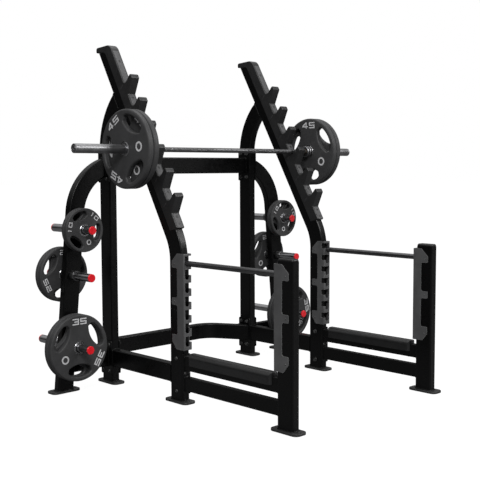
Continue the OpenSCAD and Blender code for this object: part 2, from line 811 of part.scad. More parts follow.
bar_weight(false, 0, 243);  // left_inner_45
bar_weight(false, 1, 175);  // left_outer_45
bar_weight(true, 0, 210);  // right_inner_45
bar_weight(true, 1, 190);  // right_outer_45
stored_weight(false, 1, 2, -1, 0, 339);  // left_inner_35
stored_weight(false, 1, 2, -1, 1, 330);  // left_outer_35
stored_weight(true, 1, 2, -1, 0, 211);  // right_inner_35
stored_weight(true, 1, 2, -1, 1, 254);  // right_outer_35
stored_weight(false, 2, 1, 1, 0, 215);  // left_inner_25
stored_weight(false, 2, 1, 1, 1, 200);  // left_outer_25
stored_weight(true, 2, 1, 1, 0, 217);  // right_inner_25
stored_weight(true, 2, 1, 1, 1, 200);  // right_outer_25
stored_weight(false, 3, 0, -1, 0, 240);  // left_inner_10
stored_weight(false, 3, 0, -1, 1, 250);  // left_outer_10
stored_weight(true, 3, 0, -1, 0, 291);  // right_inner_10
stored_weight(true, 3, 0, -1, 1, 265);  // right_outer_10
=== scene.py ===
import json
import math

import bmesh
import bpy
from mathutils import Matrix, Vector
from mathutils.geometry import convex_hull_2d


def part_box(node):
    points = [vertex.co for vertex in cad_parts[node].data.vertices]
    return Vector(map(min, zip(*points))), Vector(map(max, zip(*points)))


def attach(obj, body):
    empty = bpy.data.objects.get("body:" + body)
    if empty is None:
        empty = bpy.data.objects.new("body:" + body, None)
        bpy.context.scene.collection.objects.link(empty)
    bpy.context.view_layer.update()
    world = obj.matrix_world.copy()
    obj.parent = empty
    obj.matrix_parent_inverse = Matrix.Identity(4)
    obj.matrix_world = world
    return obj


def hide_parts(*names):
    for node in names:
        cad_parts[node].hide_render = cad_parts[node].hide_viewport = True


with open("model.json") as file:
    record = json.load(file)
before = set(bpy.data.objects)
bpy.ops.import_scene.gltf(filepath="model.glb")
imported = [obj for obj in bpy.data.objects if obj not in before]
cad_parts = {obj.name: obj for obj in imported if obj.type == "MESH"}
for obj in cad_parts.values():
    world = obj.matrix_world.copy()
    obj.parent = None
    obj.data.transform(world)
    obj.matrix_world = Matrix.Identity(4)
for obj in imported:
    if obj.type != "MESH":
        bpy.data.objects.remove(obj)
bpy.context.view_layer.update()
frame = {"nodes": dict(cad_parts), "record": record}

MM = 0.001
SIDES = {"left": -1, "right": 1}


# ---------------------------------------------------------------- materials

def node_material(name, base, rough, metallic=0.0, shine=0.5):
    """A node material with its Principled shader, and object coordinates in metres."""
    material = bpy.data.materials.new(name)
    material.use_nodes = True
    tree = material.node_tree
    shader = tree.nodes["Principled BSDF"]
    shader.inputs["Base Color"].default_value = (*base, 1)
    shader.inputs["Roughness"].default_value = rough
    shader.inputs["Metallic"].default_value = metallic
    shader.inputs["Specular IOR Level"].default_value = shine
    coords = tree.nodes.new("ShaderNodeTexCoord").outputs["Object"]
    return material, tree, shader, coords


def noise(tree, coords, scale, detail=3.0, rough=0.5, stretch=None):
    """Noise of a given scale per metre; stretch scales the coordinates along X, Y and Z first."""
    if stretch:
        mapping = tree.nodes.new("ShaderNodeMapping")
        mapping.inputs["Scale"].default_value = stretch
        tree.links.new(coords, mapping.inputs["Vector"])
        coords = mapping.outputs["Vector"]
    node = tree.nodes.new("ShaderNodeTexNoise")
    node.inputs["Scale"].default_value = scale
    node.inputs["Detail"].default_value = detail
    node.inputs["Roughness"].default_value = rough
    tree.links.new(coords, node.inputs["Vector"])
    return node.outputs["Fac"]


def ramp(tree, fac, low, high, colour_low, colour_high):
    node = tree.nodes.new("ShaderNodeValToRGB")
    first, last = node.color_ramp.elements
    first.position, last.position = low, high
    first.color, last.color = (*colour_low, 1), (*colour_high, 1)
    tree.links.new(fac, node.inputs["Fac"])
    return node.outputs["Color"]


def remap(tree, value, low, high, to_low, to_high):
    node = tree.nodes.new("ShaderNodeMapRange")
    for key, number in (("From Min", low), ("From Max", high), ("To Min", to_low), ("To Max", to_high)):
        node.inputs[key].default_value = number
    tree.links.new(value, node.inputs["Value"])
    return node.outputs["Result"]


def tint(base, factor):
    return tuple(min(1, factor * c) for c in base)


def bump(tree, shader, height, distance, strength=1.0):
    node = tree.nodes.new("ShaderNodeBump")
    node.inputs["Distance"].default_value = distance
    node.inputs["Strength"].default_value = strength
    tree.links.new(height, node.inputs["Height"])
    if shader.inputs["Normal"].links:
        tree.links.new(shader.inputs["Normal"].links[0].from_socket, node.inputs["Normal"])
    tree.links.new(node.outputs["Normal"], shader.inputs["Normal"])


def edge_highlight_mask(tree, radius, low, high):
    """Mask of a painted edge highlight: 0 on flats and 1 on sharp outer edges, from the difference between
    the normal and a rounded one.
    """
    rounded_normal = tree.nodes.new("ShaderNodeBevel")
    rounded_normal.samples = 4
    rounded_normal.inputs["Radius"].default_value = radius
    geometry = tree.nodes.new("ShaderNodeNewGeometry")
    dot = tree.nodes.new("ShaderNodeVectorMath")
    dot.operation = "DOT_PRODUCT"
    tree.links.new(rounded_normal.outputs["Normal"], dot.inputs[0])
    tree.links.new(geometry.outputs["Normal"], dot.inputs[1])
    return remap(tree, dot.outputs["Value"], high, low, 0.0, 1.0)


def mix_colour(tree, fac, a, b):
    node = tree.nodes.new("ShaderNodeMix")
    node.data_type = "RGBA"
    tree.links.new(fac, node.inputs["Factor"])
    for socket, value in ((node.inputs["A"], a), (node.inputs["B"], b)):
        if isinstance(value, tuple):
            socket.default_value = (*value, 1)
        else:
            tree.links.new(value, socket)
    return node.outputs["Result"]


def coated_metal(name, base, rough, edge, grain=1400, depth=0.00006, shine=0.22):
    """Powder coat: fine orange-peel, slightly uneven gloss, and a painted highlight as a paler line along
    edges.
    """
    material, tree, shader, coords = node_material(name, base, rough, shine=shine)
    patches = noise(tree, coords, 9, 4)
    colour = ramp(tree, patches, 0.3, 0.75, tint(base, 0.8), tint(base, 1.25))
    # painted highlight: a paler colour mixed in along sharp outer edges
    colour = mix_colour(tree, edge_highlight_mask(tree, 0.0015, 0.9, 0.99), colour, edge)
    tree.links.new(colour, shader.inputs["Base Color"])
    tree.links.new(remap(tree, noise(tree, coords, 40, 5), 0.3, 0.7, rough - 0.05, rough + 0.07),
                   shader.inputs["Roughness"])
    bump(tree, shader, noise(tree, coords, grain, 2), depth, 0.6)
    return material


def moulded(name, base, rough, grain, depth, spread=0.2, speck=0.0, shine=0.28):
    """Moulded plastic or rubber with a fine leathery grain and faint cloudiness."""
    material, tree, shader, coords = node_material(name, base, rough, shine=shine)
    cloud = noise(tree, coords, 14, 5, 0.6)
    colour = ramp(tree, cloud, 0.3, 0.7, tint(base, 1 - spread), tint(base, 1 + spread))
    if speck:
        dust = ramp(tree, noise(tree, coords, 900, 2), 0.66, 0.74, (0, 0, 0), (speck,) * 3)
        add = tree.nodes.new("ShaderNodeMix")
        add.data_type, add.blend_type = "RGBA", "ADD"
        add.inputs["Factor"].default_value = 1
        tree.links.new(colour, add.inputs["A"])
        tree.links.new(dust, add.inputs["B"])
        colour = add.outputs["Result"]
    tree.links.new(colour, shader.inputs["Base Color"])
    cells = tree.nodes.new("ShaderNodeTexVoronoi")
    cells.inputs["Scale"].default_value = grain
    tree.links.new(coords, cells.inputs["Vector"])
    bump(tree, shader, cells.outputs["Distance"], depth, 0.5)
    bump(tree, shader, noise(tree, coords, grain * 0.4, 3), depth * 1.5, 0.5)
    tree.links.new(remap(tree, cloud, 0.3, 0.7, rough - 0.04, rough + 0.06), shader.inputs["Roughness"])
    return material


def machined_steel(name, base, rough, along, depth=0.000004):
    """Bright turned steel: fine rings or lines, uneven polish and faint fingerprints. along is the axis
    the polishing lines run across."""
    material, tree, shader, coords = node_material(name, base, rough, 1.0)
    stretch = [30.0 if axis == along else 1.0 for axis in "XYZ"]
    lines = noise(tree, coords, 60, 6, 0.7, stretch)
    smears = noise(tree, coords, 18, 5, 0.65)
    colour = ramp(tree, smears, 0.25, 0.8, tint(base, 0.82), tint(base, 1.08))
    tree.links.new(colour, shader.inputs["Base Color"])
    tree.links.new(remap(tree, smears, 0.3, 0.75, rough - 0.04, rough + 0.1), shader.inputs["Roughness"])
    bump(tree, shader, lines, depth, 0.7)
    return material


KNURL_PITCH = 0.0018        # between neighbouring grooves, along the bar
KNURL_STARTS = 44           # grooves around the bar
RING_HALF_W = 0.004


def knurled_steel(name, base, rough, half_smooth, rings):
    """Bar steel with a diamond knurl, smooth in the middle and at the ring marks on each side."""
    material, tree, shader, coords = node_material(name, base, rough, 1.0)
    split = tree.nodes.new("ShaderNodeSeparateXYZ")
    tree.links.new(coords, split.inputs[0])

    def math_node(operation, a, b=None):
        node = tree.nodes.new("ShaderNodeMath")
        node.operation = operation
        for socket, value in zip(node.inputs, (a, b)):
            if value is None:
                continue
            if isinstance(value, (int, float)):
                socket.default_value = value
            else:
                tree.links.new(value, socket)
        return node.outputs[0]

    x, y, z = split.outputs
    turn = math_node("ARCTAN2", z, y)
    per_metre = 2 * math.pi / KNURL_PITCH
    waves = []
    for sign in (1, -1):
        phase = math_node("ADD", math_node("MULTIPLY", x, per_metre),
                          math_node("MULTIPLY", turn, sign * KNURL_STARTS))
        waves.append(math_node("ABSOLUTE", math_node("SINE", math_node("MULTIPLY", phase, 0.5))))
    knurl = math_node("MULTIPLY", waves[0], waves[1])
    distance = math_node("ABSOLUTE", x)
    zone = math_node("GREATER_THAN", distance, half_smooth)
    for ring in rings:
        off_ring = math_node("ABSOLUTE", math_node("SUBTRACT", distance, ring))
        zone = math_node("MULTIPLY", zone, math_node("GREATER_THAN", off_ring, RING_HALF_W))
    height = math_node("MULTIPLY", knurl, zone)
    bump(tree, shader, height, 0.0004, 0.9)
    # painted shade: the knurled zones are coloured darker for the shade in the knurl's grooves
    colour = mix_colour(tree, math_node("MULTIPLY", zone, 0.45), base, tint(base, 0.5))
    tree.links.new(colour, shader.inputs["Base Color"])
    tree.links.new(remap(tree, zone, 0, 1, rough, rough + 0.12), shader.inputs["Roughness"])
    return material


def glossy_plastic(name, base, rough):
    material, tree, shader, coords = node_material(name, base, rough)
    shader.inputs["Coat Weight"].default_value = 0.25
    shader.inputs["Subsurface Weight"].default_value = 0.05
    shader.inputs["Subsurface Radius"].default_value = (0.004, 0.001, 0.001)
    cloud = noise(tree, coords, 45, 4)
    colour = ramp(tree, cloud, 0.3, 0.7, tint(base, 0.9), tint(base, 1.08))
    tree.links.new(colour, shader.inputs["Base Color"])
    tree.links.new(remap(tree, cloud, 0.3, 0.7, rough - 0.04, rough + 0.08), shader.inputs["Roughness"])
    bump(tree, shader, noise(tree, coords, 900, 2), 0.00003, 0.5)
    return material


def printed(name, base, rough):
    """Moulded-in pale figures, slightly chalky, with the rubber's grain showing through."""
    material, tree, shader, coords = node_material(name, base, rough)
    worn = noise(tree, coords, 260, 4, 0.7)
    tree.links.new(ramp(tree, worn, 0.3, 0.75, tint(base, 0.72), base), shader.inputs["Base Color"])
    bump(tree, shader, noise(tree, coords, 1200, 2), 0.00005, 0.5)
    return material


SMOOTH_HALF = 0.14          # half of the bar's smooth middle
RING_MARK_X = 0.455         # the bar's ring marks, from its middle

# In the coated_metal entries the last colour is the painted edge highlight.
MATERIALS = {
    "black_frame": coated_metal("black_powder_coat", (0.0012, 0.0012, 0.0013), 0.3, (0.006, 0.006, 0.0062)),
    "floor_plate": coated_metal("floor_plate_coat", (0.02, 0.02, 0.0204), 0.4, (0.05, 0.05, 0.05), shine=0.5),
    "collar": coated_metal("collar_enamel", (0.02, 0.02, 0.0204), 0.16, (0.1, 0.1, 0.1), shine=0.9),
    "hook_moulding": moulded("hook_moulding", (0.013, 0.013, 0.0134), 0.4, 1300, 0.00006, shine=0.42),
    # painted highlight: the ledges use a lighter copy of the hook moulding to show the light line beside each
    # hook
    "ledge": moulded("ledge_moulding_painted_highlight", (0.06, 0.06, 0.062), 0.35, 1500, 0.00004),
    "wear_strip": moulded("wear_strip", (0.07, 0.07, 0.0714), 0.42, 1800, 0.00004),
    "bracket_paint": coated_metal("charcoal_powder_coat", (0.07, 0.07, 0.0714), 0.34, (0.3, 0.3, 0.3),
                                  shine=0.5),
    "moulded_cover": moulded("cover_moulding", (0.008, 0.008, 0.0083), 0.32, 1100, 0.00007, shine=0.5),
    "black_plastic": moulded("cap_plastic", (0.007, 0.007, 0.0072), 0.34, 1600, 0.00004),
    "red_cap": glossy_plastic("red_plastic", (0.8, 0.012, 0.022), 0.3),
    "horn_steel": machined_steel("horn_chrome", (0.4, 0.4, 0.41), 0.2, "Y"),
    "black_fastener": coated_metal("black_oxide", (0.02, 0.02, 0.02), 0.3, (0.14, 0.14, 0.14), 2200,
                                   0.00002, 0.5),
    "safety_bar_steel": machined_steel("safety_bar_steel", (0.14, 0.14, 0.144), 0.3, "Y"),
    "shaft_steel": knurled_steel("shaft_steel", (0.155, 0.155, 0.158), 0.32, SMOOTH_HALF, (RING_MARK_X,)),
    "sleeve_chrome": machined_steel("sleeve_chrome", (0.24, 0.24, 0.246), 0.38, "X"),
    "bronze": machined_steel("bushing_bronze", (0.62, 0.4, 0.17), 0.3, "X"),
    "rubber_weight": moulded("weight_rubber", (0.042, 0.042, 0.043), 0.46, 1500, 0.00006, 0.15, 0.006, 0.2),
    "hub_steel": machined_steel("hub_steel", (0.4, 0.4, 0.41), 0.25, "Z"),
    "figures": printed("pale_figures", (0.62, 0.62, 0.63), 0.5),
}


def paint(obj, *names):
    obj.data.materials.clear()
    for name in names:
        obj.data.materials.append(MATERIALS[name])


# ---------------------------------------------------------------- mesh helpers

def new_object(name, mesh):
    obj = bpy.data.objects.new(name, mesh)
    bpy.context.scene.collection.objects.link(obj)
    return obj


def mesh_from(name, verts, faces):
    mesh = bpy.data.meshes.new(name)
    mesh.from_pydata([tuple(v) for v in verts], [], faces)
    mesh.validate()
    bm = bmesh.new()
    bm.from_mesh(mesh)
    bmesh.ops.recalc_face_normals(bm, faces=bm.faces)
    bm.to_mesh(mesh)
    bm.free()
    return mesh


def smooth(mesh, angle=35):
    """Smooth shading that breaks at edges sharper than angle degrees."""
    mesh.shade_smooth()
    mesh.set_sharp_from_angle(angle=math.radians(angle))
    return mesh


def rounded(points, steps=6):
    """Outline from [x, y, corner radius] points, with each corner replaced by an arc."""
    outline = []
    count = len(points)
    for i, (x, y, r) in enumerate(points):
        corner = Vector((x, y))
        if r == 0:
            outline.append(corner)
            continue
        before = (Vector(points[i - 1][:2]) - corner).normalized()
        after = (Vector(points[(i + 1) % count][:2]) - corner).normalized()
        half = before.angle(after) / 2
        centre = corner + (before + after).normalized() * (r / math.sin(half))
        start = corner + before * (r / math.tan(half)) - centre
        turn = math.pi - 2 * half
        if before.x * after.y - before.y * after.x > 0:
            turn = -turn
        for k in range(steps + 1):
            outline.append(centre + Matrix.Rotation(turn * k / steps, 2) @ start)
    return outline


def prism(name, outline, depth):
    """Solid between z = 0 and z = depth over a closed outline."""
    n = len(outline)
    verts = [(p[0], p[1], z) for z in (0, depth) for p in outline]
    faces = [list(range(n))[::-1], list(range(n, 2 * n))]
    faces += [(i, (i + 1) % n, (i + 1) % n + n, i + n) for i in range(n)]
    return mesh_from(name, verts, faces)


def lathe(name, profile, steps=64, closed=True):
    """Turns [radius, z] points about Z. A closed profile is a ring; an open one starts and ends on the
    axis."""
    verts, faces, rings = [], [], []
    for r, z in profile:
        if r < 1e-7:
            rings.append([len(verts)])
            verts.append((0, 0, z))
        else:
            rings.append(list(range(len(verts), len(verts) + steps)))
            verts += [(r * math.cos(2 * math.pi * k / steps), r * math.sin(2 * math.pi * k / steps), z)
                      for k in range(steps)]
    pairs = list(zip(rings, rings[1:])) + ([(rings[-1], rings[0])] if closed else [])
    for a, b in pairs:
        for k in range(steps):
            k2 = (k + 1) % steps
            if len(a) == 1 and len(b) == 1:
                continue
            if len(a) == 1:
                faces.append((a[0], b[k], b[k2]))
            elif len(b) == 1:
                faces.append((a[k], b[0], a[k2]))
            else:
                faces.append((a[k], b[k], b[k2], a[k2]))
    return mesh_from(name, verts, faces)


def arc(cx, cy, r, start, end, steps=5):
    """Points on an arc, angles in degrees."""
    angles = [math.radians(start + (end - start) * k / steps) for k in range(steps + 1)]
    return [(cx + r * math.cos(a), cy + r * math.sin(a)) for a in angles]


def evaluated(obj):
    """The object's mesh with its modifiers applied, as a new mesh."""
    graph = bpy.context.evaluated_depsgraph_get()
    return bpy.data.meshes.new_from_object(obj.evaluated_get(graph))


def cut(mesh, cutter_mesh, operation="DIFFERENCE"):
    """Boolean of two meshes; returns a new mesh."""
    body, cutter = new_object("cut_body", mesh), new_object("cut_tool", cutter_mesh)
    modifier = body.modifiers.new("cut", "BOOLEAN")
    modifier.object, modifier.operation, modifier.solver = cutter, operation, "EXACT"
    result = evaluated(body)
    bpy.data.objects.remove(body)
    bpy.data.objects.remove(cutter)
    return result


def join_meshes(name, parts):
    """One mesh from (mesh, matrix, material index) parts."""
    bm = bmesh.new()
    for mesh, matrix, index in parts:
        piece = mesh.copy()
        piece.transform(matrix)
        if matrix.determinant() < 0:
            piece.flip_normals()
        start = len(bm.faces)
        bm.from_mesh(piece)
        bm.faces.ensure_lookup_table()
        for face in bm.faces[start:]:
            face.material_index = index
        bpy.data.meshes.remove(piece)
    result = bpy.data.meshes.new(name)
    bm.to_mesh(result)
    bm.free()
    return result


def basis(x, y, z, origin):
    """Matrix whose columns are the given axes."""
    m = Matrix((x, y, z)).transposed().to_4x4()
    m.translation = Vector(origin)
    return m


X, Y, Z = Vector((1, 0, 0)), Vector((0, 1, 0)), Vector((0, 0, 1))


def piece(name, mesh, body, slot, replaces=(), materials=None, location=(0, 0, 0)):
    """Adds a finished piece in the row frame and lets it ride on its body."""
    obj = new_object(name, mesh)
    obj.location = location
    paint(obj, *(materials or (slot,)))
    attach(obj, body)
    if replaces:
        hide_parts(*replaces)
    return obj


def node_body(node):
    return next(b for b, nodes in frame["record"]["behaviour"]["bodies"].items() if node in nodes)


# ---------------------------------------------------------------- shapes that repeat

def loft(name, rings):
    """Closed solid through rings of equally many 3D points, with flat ends."""
    n = len(rings[0])
    verts = [p for ring in rings for p in ring]
    faces = [list(range(n))[::-1], [(len(rings) - 1) * n + i for i in range(n)]]
    for k in range(len(rings) - 1):
        a, b = k * n, (k + 1) * n
        faces += [(a + i, a + (i + 1) % n, b + (i + 1) % n, b + i) for i in range(n)]
    return mesh_from(name, verts, faces)


def grown(outline, distance):
    """The outline moved outwards by distance, or inwards when it is negative."""
    n = len(outline)
    area = sum(outline[i].x * outline[(i + 1) % n].y - outline[(i + 1) % n].x * outline[i].y
               for i in range(n))
    side = 1 if area > 0 else -1
    moved = []
    for i in range(n):
        before = (outline[i] - outline[i - 1]).normalized()
        after = (outline[(i + 1) % n] - outline[i]).normalized()
        first, second = (Vector((v.y, -v.x)) * side for v in (before, after))
        bisector = (first + second).normalized()
        moved.append(outline[i] + bisector * (distance / max(0.5, bisector.dot(first))))
    return moved


def rounding(edge, steps=5):
    """(depth, inset) pairs over a rounded edge, from the flat face inwards."""
    angles = [math.pi / 2 * k / steps for k in range(steps + 1)]
    return [(edge * (1 - math.cos(a)), edge * (1 - math.sin(a))) for a in angles]


def pillow(name, outline, depth, edge, bottom_edge=None, steps=5):
    """Slab of an outline between z = 0 and depth, with rounded edges at the top and the bottom."""
    bottom_edge = edge if bottom_edge is None else bottom_edge
    levels = rounding(bottom_edge, steps) if bottom_edge else [(0.0, 0.0)]
    levels += [(depth - z, inset) for z, inset in reversed(rounding(edge, steps))]
    return loft(name, [[(p.x, p.y, z) for p in grown(outline, -inset)] for z, inset in levels])


def box_outline(w, h, r, steps=6):
    return rounded([(-w / 2, -h / 2, r), (w / 2, -h / 2, r), (w / 2, h / 2, r), (-w / 2, h / 2, r)], steps)


def flat_shape(name, outlines, thickness, edge):
    """Raised figure on z = 0 from outlines, the inner ones being holes, with a rounded edge."""
    curve = bpy.data.curves.new(name, "CURVE")
    curve.dimensions, curve.fill_mode = "2D", "BOTH"
    curve.extrude, curve.bevel_depth, curve.bevel_resolution = thickness / 2 - edge, edge, 1
    curve.offset = -edge
    for outline in outlines:
        spline = curve.splines.new("POLY")
        spline.points.add(len(outline) - 1)
        for point, p in zip(spline.points, outline):
            point.co = (p.x, p.y, 0, 1)
        spline.use_cyclic_u = True
    obj = new_object(name, curve)
    mesh = evaluated(obj)
    bpy.data.objects.remove(obj)
    mesh.transform(Matrix.Translation((0, 0, thickness / 2)))
    return mesh


# ---------------------------------------------------------------- weights

WEIGHTS = {"45": (40, 4.5), "35": (38, 4.0), "25": (38, 3.5), "10": (36, 3.0)}   # hub radius, lip
LARGEST_R = 0.215       # metres; the rim and flare are given for this size
BORE_R = 25.1
RIM = (13, 10)          # rounded rim: along the radius and along the axis
FACE_DEPTH = 1.2        # flat face, below the rim and the hub lip
GRIP_FLARE = 11         # radius of the soft edge around each grip opening
FIGURE_T, FIGURE_EDGE = 0.9, 0.25
TURN_OF_MARK = {        # where the mark sits, seen from the side the piece's local Z points to
    "left_inner_45": 297, "left_outer_45": 5, "right_inner_45": 210, "right_outer_45": 190,
    "left_inner_35": 201, "left_outer_35": 210, "right_inner_35": 211, "right_outer_35": 254,
    "left_inner_25": -35, "left_outer_25": -20, "right_inner_25": 217, "right_outer_25": 200,
    "left_inner_10": -60, "left_outer_10": -70, "right_inner_10": 291, "right_outer_10": 265,
}


def digit_outlines(digit, w, h, s):
    """Squared digit of width w, height h and stroke s, from its lower left corner."""
    m, k, d = h / 2, 0.28 * w, 0.78 * w
    shapes = {
        "0": [[(0, 0), (w, 0), (w, h), (0, h)], [(s, s), (s, h - s), (w - s, h - s), (w - s, s)]],
        "1": [[(w / 2 - s / 2, 0), (w / 2 + s / 2, 0), (w / 2 + s / 2, h), (w / 2 - 1.3 * s, h),
               (w / 2 - 1.3 * s, h - 0.9 * s), (w / 2 - s / 2, h - 0.9 * s)]],
        "2": [[(0, 0), (w, 0), (w, s), (s, s), (s, m - s / 2), (w, m - s / 2), (w, h), (0, h),
               (0, h - s), (w - s, h - s), (w - s, m + s / 2), (0, m + s / 2)]],
        "3": [[(0, 0), (w, 0), (w, h), (0, h), (0, h - s), (w - s, h - s), (w - s, m + s / 2),
               (k, m + s / 2), (k, m - s / 2), (w - s, m - s / 2), (w - s, s), (0, s)]],
        "4": [[(d - s, 0), (d, 0), (d, 0.2 * h), (w, 0.2 * h), (w, 0.2 * h + s), (d, 0.2 * h + s), (d, h),
               (d - 1.3 * s, h), (0, 0.2 * h + 1.1 * s), (0, 0.2 * h), (d - s, 0.2 * h)],
              [(d - s, 0.2 * h + s), (1.35 * s, 0.2 * h + s), (d - s, h - 1.5 * s)]],
        "5": [[(0, 0), (w, 0), (w, m + s / 2), (s, m + s / 2), (s, h - s), (w, h - s), (w, h), (0, h),
               (0, m - s / 2), (w - s, m - s / 2), (w - s, s), (0, s)]],
    }
    return [rounded([(x, y, 0.3 * s) for x, y in shape], 3) for shape in shapes[digit]]


def figures_mesh(size, r):
    """Both numbers and the plain ring mark of one face, centred on the weight's axis, mark towards +X."""
    w, h, s, gap = 0.222 * r, 0.185 * r, 0.035 * r, 0.046 * r
    parts = []
    for turn in (120, 240):
        turned = Matrix.Rotation(math.radians(turn - 90), 4, "Z")
        for i, digit in enumerate(size):
            shape = flat_shape(digit, digit_outlines(digit, w, h, s), FIGURE_T * MM, FIGURE_EDGE * MM)
            place = Matrix.Translation((gap / 2 + (w + gap) * (i - 1), 0.795 * r - h / 2, 0))
            parts.append((shape, turned @ place, 0))
    circle = [Vector((math.cos(a), math.sin(a))) for a in (2 * math.pi * k / 48 for k in range(48))]
    ring = flat_shape("mark", [[p * 0.125 * r for p in circle], [p * 0.078 * r for p in circle[::-1]]],
                      FIGURE_T * MM, FIGURE_EDGE * MM)
    parts.append((ring, Matrix.Translation((0.59 * r, 0, 0)), 0))
    return join_meshes("figures_" + size, parts)


def grip_outline(r):
    """One side follows the rim, the other bulges towards the hub, and short slanting ends join them."""
    rim = [(0.86 * r * x, 0.86 * r * y, 0) for x, y in arc(0, 0, 1, 68, 112, 16)]
    hub = [(0.7 * r * x, 0.7 * r * y + 1.2 * r, 0) for x, y in arc(0, 0, 1, 246, 294, 16)]
    left = [(-0.39 * r, 0.72 * r, 0.05 * r), (-0.37 * r, 0.6 * r, 0.05 * r)]
    right = [(0.37 * r, 0.6 * r, 0.05 * r), (0.39 * r, 0.72 * r, 0.05 * r)]
    return rounded(rim + left + hub + right, 6)


def weight_meshes(size):
    """(rubber disc, steel hub, figures) of one weight, standing on z = 0 with its mark towards +X."""
    low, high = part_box("left_inner_" + size)
    spans = sorted(high - low)
    t, r = spans[0], spans[-1] / 2
    hub, lip = (v * MM for v in WEIGHTS[size])
    rim_r, rim_z = (v * MM * r / LARGEST_R for v in RIM)
    face = FACE_DEPTH * MM
    half = [(hub + 0.0001, t / 2), (hub + 0.0001, t - 0.0008), (hub + 0.0008, t - 0.0001),
            (hub + lip - 0.001, t), (hub + lip, t - 0.0005), (hub + lip + 0.002, t - face),
            (r - rim_r, t - face)]
    quarter = [math.pi / 2 * k / 8 for k in range(1, 9)]
    half += [(r - rim_r * (1 - math.sin(a)), t - face - rim_z * (1 - math.cos(a))) for a in quarter]
    half += [(r, t / 2 + 0.0012), (r - 0.0004, t / 2 + 0.0008)]
    profile = half + [(radius, t - z) for radius, z in reversed(half[1:])]
    disc = lathe("disc_" + size, profile, 160)
    flare = GRIP_FLARE * MM * r / LARGEST_R
    outline = grip_outline(r)
    levels = [(-0.002, flare)] + [(face + depth, inset) for depth, inset in rounding(flare, 7)]
    levels += [(t - z, inset) for z, inset in reversed(levels)]
    cutters = []
    for turn in (60, 180, 300):
        rings = [[(p.x, p.y, z) for p in grown(outline, inset)] for z, inset in levels]
        cutters.append((loft("grip", rings), Matrix.Rotation(math.radians(turn - 90), 4, "Z"), 0))
    disc = cut(disc, join_meshes("grips", cutters))
    smooth(disc, 40)
    bore = BORE_R * MM
    steel = [(bore, t / 2), (bore, t - 0.0025), (bore + 0.0015, t - 0.001), (hub - 0.004, t - 0.001),
             (hub - 0.0025, t - 0.0022), (hub - 0.0006, t - 0.0022), (hub - 0.0001, t - 0.003)]
    ring = lathe("hub_" + size, steel + [(radius, t - z) for radius, z in reversed(steel[1:])], 96)
    smooth(ring, 30)
    face_figures = figures_mesh(size, r)
    top = Matrix.Translation((0, 0, t - face - 0.0001))
    bottom = Matrix.Translation((0, 0, face + 0.0001)) @ Matrix.Rotation(math.pi, 4, "X")
    figures = join_meshes("figures_" + size, [(face_figures, top, 0), (face_figures, bottom, 0)])
    return disc, ring, figures, t


def add_weights():
    for size in WEIGHTS:
        disc, ring, figures, t = weight_meshes(size)
        for side, sign in SIDES.items():
            for place in ("inner", "outer"):
                node = f"{side}_{place}_{size}"
                low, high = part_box(node)
                centre = (low + high) / 2
                axes = (sign * Y, Z, sign * X) if size == "45" else (X, Z, -Y)
                origin = centre - axes[2] * (t / 2)
                turn = Matrix.Rotation(math.radians(TURN_OF_MARK[node]), 4, "Z")
                matrix = basis(*axes, origin) @ turn
                for suffix, mesh, slot, finish in (("disc", disc, "rubber_weight", "rubber_weight"),
                                                   ("hub", ring, "sleeve_chrome", "hub_steel"),
                                                   ("figures", figures, "rubber_weight", "figures")):
                    obj = new_object(f"{node}_{suffix}", mesh)
                    obj.matrix_world = matrix
                    paint(obj, finish)
                    if suffix == "disc":
                        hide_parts(node)
                    if suffix != "figures":
                        obj.modifiers.new("normals", "WEIGHTED_NORMAL").keep_sharp = True
                    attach(obj, node_body(node))


# ---------------------------------------------------------------- hook rails and wear strips

SIDE_X = (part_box("right_main_upright")[0].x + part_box("right_main_upright")[1].x) / 2
MAIN_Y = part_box("left_rear_bracket")[1].y - 0.027
LEAN = math.radians(29.7)
KINK_Z = 0.8544             # where the upright's centre line bends
TUBE_W, TUBE_D, TUBE_R = 0.051, 0.102, 0.009
RAIL_FRONT = -0.0676        # from the centre line of the leaning tube, as is CHEEK_BACK
RAIL_W = 0.057
CHEEK_BACK = -0.004
CAP_Z = 1.948               # underside of the rail's cap
HOOKS = [0.2314 + 0.1519 * k for k in range(6)]     # notch bottoms, along the leaning tube
NOTCH_ANGLE = math.radians(19.5)
PRONG = 0.079               # how far a hook stands out
STRIP_W, STRIP_T, STRIP_PROUD = 0.038, 0.004, 0.0006
STRIPS_FROM, STRIPS_TO = 0.080, 1.225   # along the leaning tube, as are the hooks
STRIP_ABOVE, STRIP_BELOW = 0.022, 0.067     # a strip starts this far above a hook and ends this far below one
END_SCREWS, SCREW_BELOW = (0.098, 1.151), 0.087
STRIP_R, STRIP_GAP = 0.004, 0.0004      # corner radius, and play around a strip in its pocket
WELL_R, HOLE_R = 0.0072, 0.0074         # screw wells in the rail, and screw holes in the strips
LEDGE_W, LEDGE_L = 0.0022, 0.034        # thin raised line on each cheek beside a hook
LEDGE_BACK, LEDGE_UP = 0.012, 0.012     # where it starts, from the rail's front and from the hook


def leaning(sign):
    """Matrix of a main upright's leaning part: X across, Y back from its centre line, Z along it."""
    return Matrix.Translation((sign * SIDE_X, MAIN_Y, KINK_Z)) @ Matrix.Rotation(-LEAN, 4, "X")


def level_s(z, y):
    """Distance along the leaning tube at which height z is met, y behind its centre line."""
    return (z - KINK_Z + y * math.sin(LEAN)) / math.cos(LEAN)


